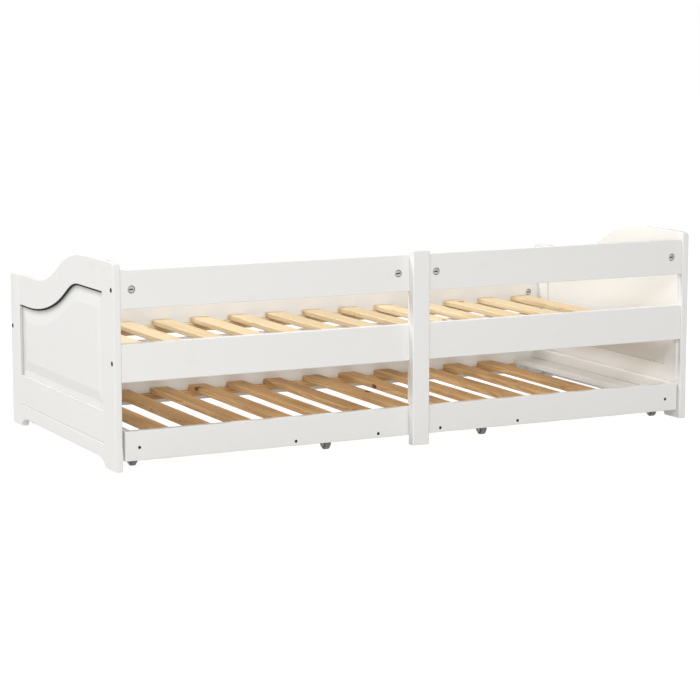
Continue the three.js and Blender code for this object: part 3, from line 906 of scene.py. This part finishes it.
WHEEL_STEPS = 48
RIBS = 6
RIB_MIDDLE = 10.8 * MM          # from the axle
RIB_SIZE = (14.6 * MM, 1.6 * MM, 7.6 * MM)
AXLE_CORE = 0.4 * MM
AXLE_TIP = 2.2 * MM
AXLE_RADIUS = 3 * MM
AXLE_HALF = 14 * MM
AXLE_CHAMFER = 0.7 * MM
AXLE_BORE = 3.4 * MM
BORE_STEPS = 24
CHEEK_INNER = 9.6 * MM
CHEEK_OUTER = 14.6 * MM
CHEEK_HALF = 11 * MM
CHEEK_BEND = 19 * MM            # the height where its sides turn in
CHEEK_FOOT = 8.5 * MM
CHEEK_STEPS = 12
CHEEK_ROUND = 0.9 * MM
BLOCK_UNDER = 30 * MM
BLOCK_ROUND = 0.6 * MM
FLANGE_TALL = 0.9 * MM
FLANGE_CLEAR = 0.1 * MM         # below the block
FLANGE_HALF = (19.6 * MM, 25.5 * MM)
FLANGE_SLOT = 22.5 * MM
FLANGE_ROUND = 4 * MM


def spun(profile, place):
    """A closed (radius, x) profile turned about an axle along X."""
    shape = bmesh.new()
    loop = [shape.verts.new((x, 0, radius)) for radius, x in profile]
    for start, end in zip(loop, loop[1:] + loop[:1]):
        shape.edges.new((start, end))
    bmesh.ops.spin(
        shape,
        geom=shape.verts[:] + shape.edges[:],
        cent=(0, 0, 0),
        axis=(1, 0, 0),
        dvec=(0, 0, 0),
        angle=math.tau,
        steps=WHEEL_STEPS,
        use_merge=True,
    )
    bmesh.ops.recalc_face_normals(shape, faces=shape.faces)
    bmesh.ops.translate(shape, vec=place, verts=shape.verts)
    return shape


def both_sides(half):
    """A (radius, x) profile with its mirror image."""
    return half + [(radius, -x) for radius, x in reversed(half)]


def tyre_profile(radius):
    """Hub, hollow, rim and slightly crowned tread of a wheel."""
    half = [
        (3.1, 8.9), (6.4, 8.9), (6.9, 8.4), (7.2, 6.2), (8.6, 5.8), (13.0, 5.8),
        (14.2, 6.2), (14.8, 7.9), (15.4, 8.5), (17.6, 8.5), (18.9, 8.1), (19.5, 7.4),
    ]
    half = [(r * MM, x * MM) for r, x in half]
    half += [(radius - 0.15 * MM, 6.2 * MM), (radius, 3.0 * MM)]
    return both_sides(half)


def axle_profile():
    """A plain pin with chamfered tips."""
    return both_sides([
        (AXLE_CORE, AXLE_HALF),
        (AXLE_TIP, AXLE_HALF),
        (AXLE_RADIUS, AXLE_HALF - AXLE_CHAMFER),
    ])


def add_wheel(node, tyre, steel):
    """The rolling parts of one caster: a moulded wheel and its riveted axle."""
    low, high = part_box(node)
    centre = (low + high) / 2
    radius = (high.z - low.z) / 2
    shape = spun(tyre_profile(radius), centre)
    for number in range(RIBS):
        turn = Matrix.Rotation(math.tau * number / RIBS, 4, "X")
        rib = Matrix.Translation(centre) @ turn @ Matrix.Translation((0, 0, RIB_MIDDLE))
        size = Matrix.Diagonal((*RIB_SIZE, 1))
        bmesh.ops.create_cube(shape, size=1, matrix=rib @ size)
    piece = stand_for(node, shape, tyre, "tyre", FITTING_SMOOTH)
    mark_unworn(piece.data)
    pin = spun(axle_profile(), centre)
    add_fitting(pin, f"{node}_axle", steel, BODY_OF[node], "zinc_steel")


def cheek_outline():
    """Side view of a cheek: y from the axle, and z from the floor, down one side and up."""
    points = [(CHEEK_HALF, BLOCK_UNDER)]
    for step in range(CHEEK_STEPS + 1):
        angle = math.pi * step / CHEEK_STEPS
        z = CHEEK_BEND - (CHEEK_BEND - CHEEK_FOOT) * math.sin(angle)
        points.append((CHEEK_HALF * math.cos(angle), z))
    return points + [(-CHEEK_HALF, BLOCK_UNDER)]


def bore_outline(height):
    """The hole for the axle at a height, as y from the axle and z from the floor."""
    turns = [math.tau * step / BORE_STEPS for step in range(BORE_STEPS)]
    return [(AXLE_BORE * math.cos(turn), height + AXLE_BORE * math.sin(turn)) for turn in turns]


def add_cheek(name, centre, side, plastic):
    """One cheek of a fork: a plate bored for the axle, rounded along its lower edge."""
    shape = bmesh.new()
    rings = []
    for x in (side * CHEEK_INNER, side * CHEEK_OUTER):
        edges = []
        for outline in (cheek_outline(), bore_outline(centre.z)):
            ring = [shape.verts.new((centre.x + x, centre.y + y, z)) for y, z in outline]
            edges += [shape.edges.new(pair) for pair in zip(ring, ring[1:] + ring[:1])]
            rings.append(ring)
        bmesh.ops.triangle_fill(shape, edges=edges, use_beauty=True)
    near_rim, near_bore, far_rim, far_bore = rings
    join_rings(shape, near_rim, far_rim)
    join_rings(shape, near_bore, far_bore)
    bmesh.ops.recalc_face_normals(shape, faces=shape.faces)

    def on_rim(edge):
        at = middle_of(edge)
        clear_of_bore = (at - centre).yz.length > 2 * AXLE_BORE
        return at.z < BLOCK_UNDER - MM and clear_of_bore

    ease(shape, sharp_edges(shape, on_rim), CHEEK_ROUND, 3)
    add_fitting(shape, name, plastic, "trundle", "grey_plastic")


def add_flange(name, centre, plastic):
    """A thin moulded frame under the block or plank, around the slot of the wheel."""
    shape = bmesh.new()
    corners = ((-1, -1), (1, -1), (1, 1), (-1, 1))
    layers = []
    for z in (BLOCK_UNDER - FLANGE_TALL, BLOCK_UNDER - FLANGE_CLEAR):
        loops = []
        for half_x, half_y in (FLANGE_HALF, (CHEEK_INNER, FLANGE_SLOT)):
            spots = [(centre.x + i * half_x, centre.y + j * half_y, z) for i, j in corners]
            loops.append([shape.verts.new(spot) for spot in spots])
        layers.append(loops)
    for rim, hole in layers:
        join_rings(shape, rim, hole)
    for bottom, top in zip(*layers):
        join_rings(shape, bottom, top)
    bmesh.ops.recalc_face_normals(shape, faces=shape.faces)

    def is_upright(edge):
        return abs(edge.verts[0].co.z - edge.verts[1].co.z) > MM

    ease(shape, sharp_edges(shape, is_upright), FLANGE_ROUND, 4)
    add_fitting(shape, name, plastic, "trundle", "grey_plastic")


def add_fork(wheel, plastic, flanged):
    """What holds one wheel: a cheek on each side of it, and at the corners a flange."""
    centre = centre_of(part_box(wheel))
    for side, label in zip((-1, 1), SIDES):
        add_cheek(f"{wheel}_{label}_cheek", centre, side, plastic)
    if flanged:
        add_flange(f"{wheel}_flange", centre, plastic)


def add_wheel_carrier(node, material):
    """A caster block or an end plank, without the cheeks that hang below it."""
    shape = merged_copy(node)
    bmesh.ops.bisect_plane(
        shape,
        geom=shape.verts[:] + shape.edges[:] + shape.faces[:],
        dist=0.005 * MM,
        plane_co=(0, 0, BLOCK_UNDER),
        plane_no=(0, 0, 1),
        clear_inner=True,
    )
    open_edges = [edge for edge in shape.edges if edge.is_boundary]
    bmesh.ops.holes_fill(shape, edges=open_edges)
    bmesh.ops.recalc_face_normals(shape, faces=shape.faces)
    ease(shape, sharp_edges(shape), BLOCK_ROUND, 2)
    add_timber(node, shape, material)


# ---- the studio -----------------------------------------------------------------------------


def add_floor():
    """A wide pale floor under the casters and the feet."""
    shape = bmesh.new()
    bmesh.ops.create_grid(shape, x_segments=1, y_segments=1, size=FLOOR_SIZE / 2)
    mesh = bpy.data.meshes.new("floor")
    shape.to_mesh(mesh)
    shape.free()
    mesh.materials.append(floor_finish())
    floor = bpy.data.objects.new("floor", mesh)
    bpy.context.scene.collection.objects.link(floor)


add_camera()
add_sky()
add_softbox("key", (6.5, -4.2, 10.0), 4.0, 4.0, 1060)
add_softbox("low_fill", (5.4, 10.6, 1.7), 2.6, 2.6, 330)
add_softbox("high_fill", (4.2, 9.2, 6.6), 3.0, 3.0, 420)
add_softbox("inside_fill", (0.1, 0.30, 1.0), 1.8, 0.3, 3.8, INSIDE_TARGET)
add_floor()

# ---- the finishes ---------------------------------------------------------------------------

paint = white_paint()
pale_pine = natural_pine(
    "pale_pine",
    early=(0.87, 0.73, 0.49),
    late=(0.74, 0.53, 0.29),
    knot=(0.26, 0.11, 0.045),
    side=(0.60, 0.40, 0.20),
)
# The trundle's darker pine: partly its own tone, partly painted shade for the shade it lies in
# under the bed.
honey_pine = natural_pine(
    "honey_pine",
    early=(0.76, 0.50, 0.23),
    late=(0.47, 0.25, 0.10),
    knot=(0.14, 0.05, 0.02),
    side=(0.30, 0.15, 0.06),
)
grey_plastic = moulded_plastic("grey_plastic", (0.16, 0.165, 0.17), (0.24, 0.245, 0.25), 0.5)
housing_plastic = moulded_plastic(
    "housing_plastic",
    dark=(0.30, 0.305, 0.31),
    pale=(0.38, 0.385, 0.39),
    dusty=0.4,
)
zinc_steel = plated_steel("zinc_steel", (0.50, 0.49, 0.47), (0.26, 0.25, 0.23), 0.34)
dark_steel = plated_steel(
    "dark_steel",
    bright=(0.085, 0.066, 0.042),
    dull=(0.030, 0.024, 0.016),
    rough=0.50,
    metallic=0.5,
)
# Near-black painted shadow, for the strips under the panels' wavy edges and the bottoms of the
# nut holes and slots.
painted_shadow = moulded_plastic(
    "painted_shadow",
    dark=(0.035, 0.034, 0.032),
    pale=(0.055, 0.053, 0.050),
    dusty=0.0,
    gloss=0.05,
)
black_oxide = moulded_plastic(
    "black_oxide",
    dark=(0.010, 0.010, 0.009),
    pale=(0.022, 0.021, 0.019),
    dusty=0.0,
    gloss=0.12,
)
nut_alloy = plated_steel("nut_alloy", (0.66, 0.65, 0.61), (0.50, 0.49, 0.45), 0.45, 0.35)

# ---- the object -----------------------------------------------------------------------------

TIMBER = {"white_paint": paint, "pale_pine": pale_pine, "honey_pine": honey_pine}
DRILLED = [f"{level}_{side}_rail" for level in ("upper", "lower") for side in SIDES]
DRILLED += ["front_rail", "centre_post", "trundle_back_rail"]


def is_plain(node):
    """Whether a CAD node is a plain board, and not one of those that are made otherwise."""
    if node in DRILLED or node.startswith(("left_end_", "right_end_")):
        return False
    return not any(word in node for word in ("wheel", "end_plank", "caster_block"))


for side in SIDES:
    for member in REVEAL_SHADE:
        add_end_member(side, member, paint)
    add_end_panel(side, paint)
    add_panel_shadow_line(side, painted_shadow)

for node in DRILLED:
    add_drilled_board(node, paint)
for node in sorted(frame["nodes"]):
    if is_plain(node):
        add_board(node, TIMBER[SLOT_OF[node]])

for side in SIDES:
    add_wheel_carrier(f"trundle_{side}_end_plank", paint)
    add_wheel_carrier(f"trundle_{side}_caster_block", pale_pine)
for node in sorted(frame["nodes"]):
    if node.endswith("_wheel"):
        add_wheel(node, grey_plastic, zinc_steel)
        add_fork(node, housing_plastic, flanged="middle" not in node)

add_end_bolts(black_oxide)
add_barrel_nuts(nut_alloy, painted_shadow)
add_trundle_bolts(dark_steel)
